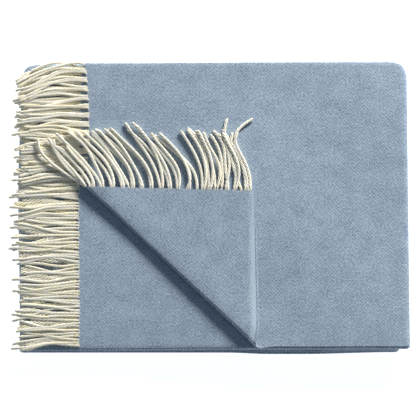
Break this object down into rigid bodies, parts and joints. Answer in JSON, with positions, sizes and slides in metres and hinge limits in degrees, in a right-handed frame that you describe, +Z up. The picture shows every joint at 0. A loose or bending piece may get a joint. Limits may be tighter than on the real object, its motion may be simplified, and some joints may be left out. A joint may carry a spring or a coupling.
{
  "type": "folded wool throw blanket",
  "caption": "Twill-woven wool throw with twisted fringes, folded in thirds and along its length, one corner turned back.",
  "frame": {"origin": "on the surface the throw lies on, in the middle of the folded throw", "axes": "+X along the cloth's length, away from the fringed end that shows; +Y across the cloth, away from the viewer; +Z up"},
  "size_m": [0.6024, 0.4413, 0.036],
  "materials": {
    "wool_twill": "soft, lightly brushed 2/2 twill with a cream warp and a blue-grey weft",
    "wool_fringe": "cream twisted wool yarn, matt and slightly hairy"
  },
  "bodies": {
    "root": {"throw_cloth": "wool_twill", "fringe_top": "wool_fringe", "fringe_corner": "wool_fringe", "fringe_middle": "wool_fringe", "fringe_bottom": "wool_fringe", "fringe_far_top": "wool_fringe", "fringe_far_middle": "wool_fringe", "fringe_far_bottom": "wool_fringe"}
  },
  "joints": []
}
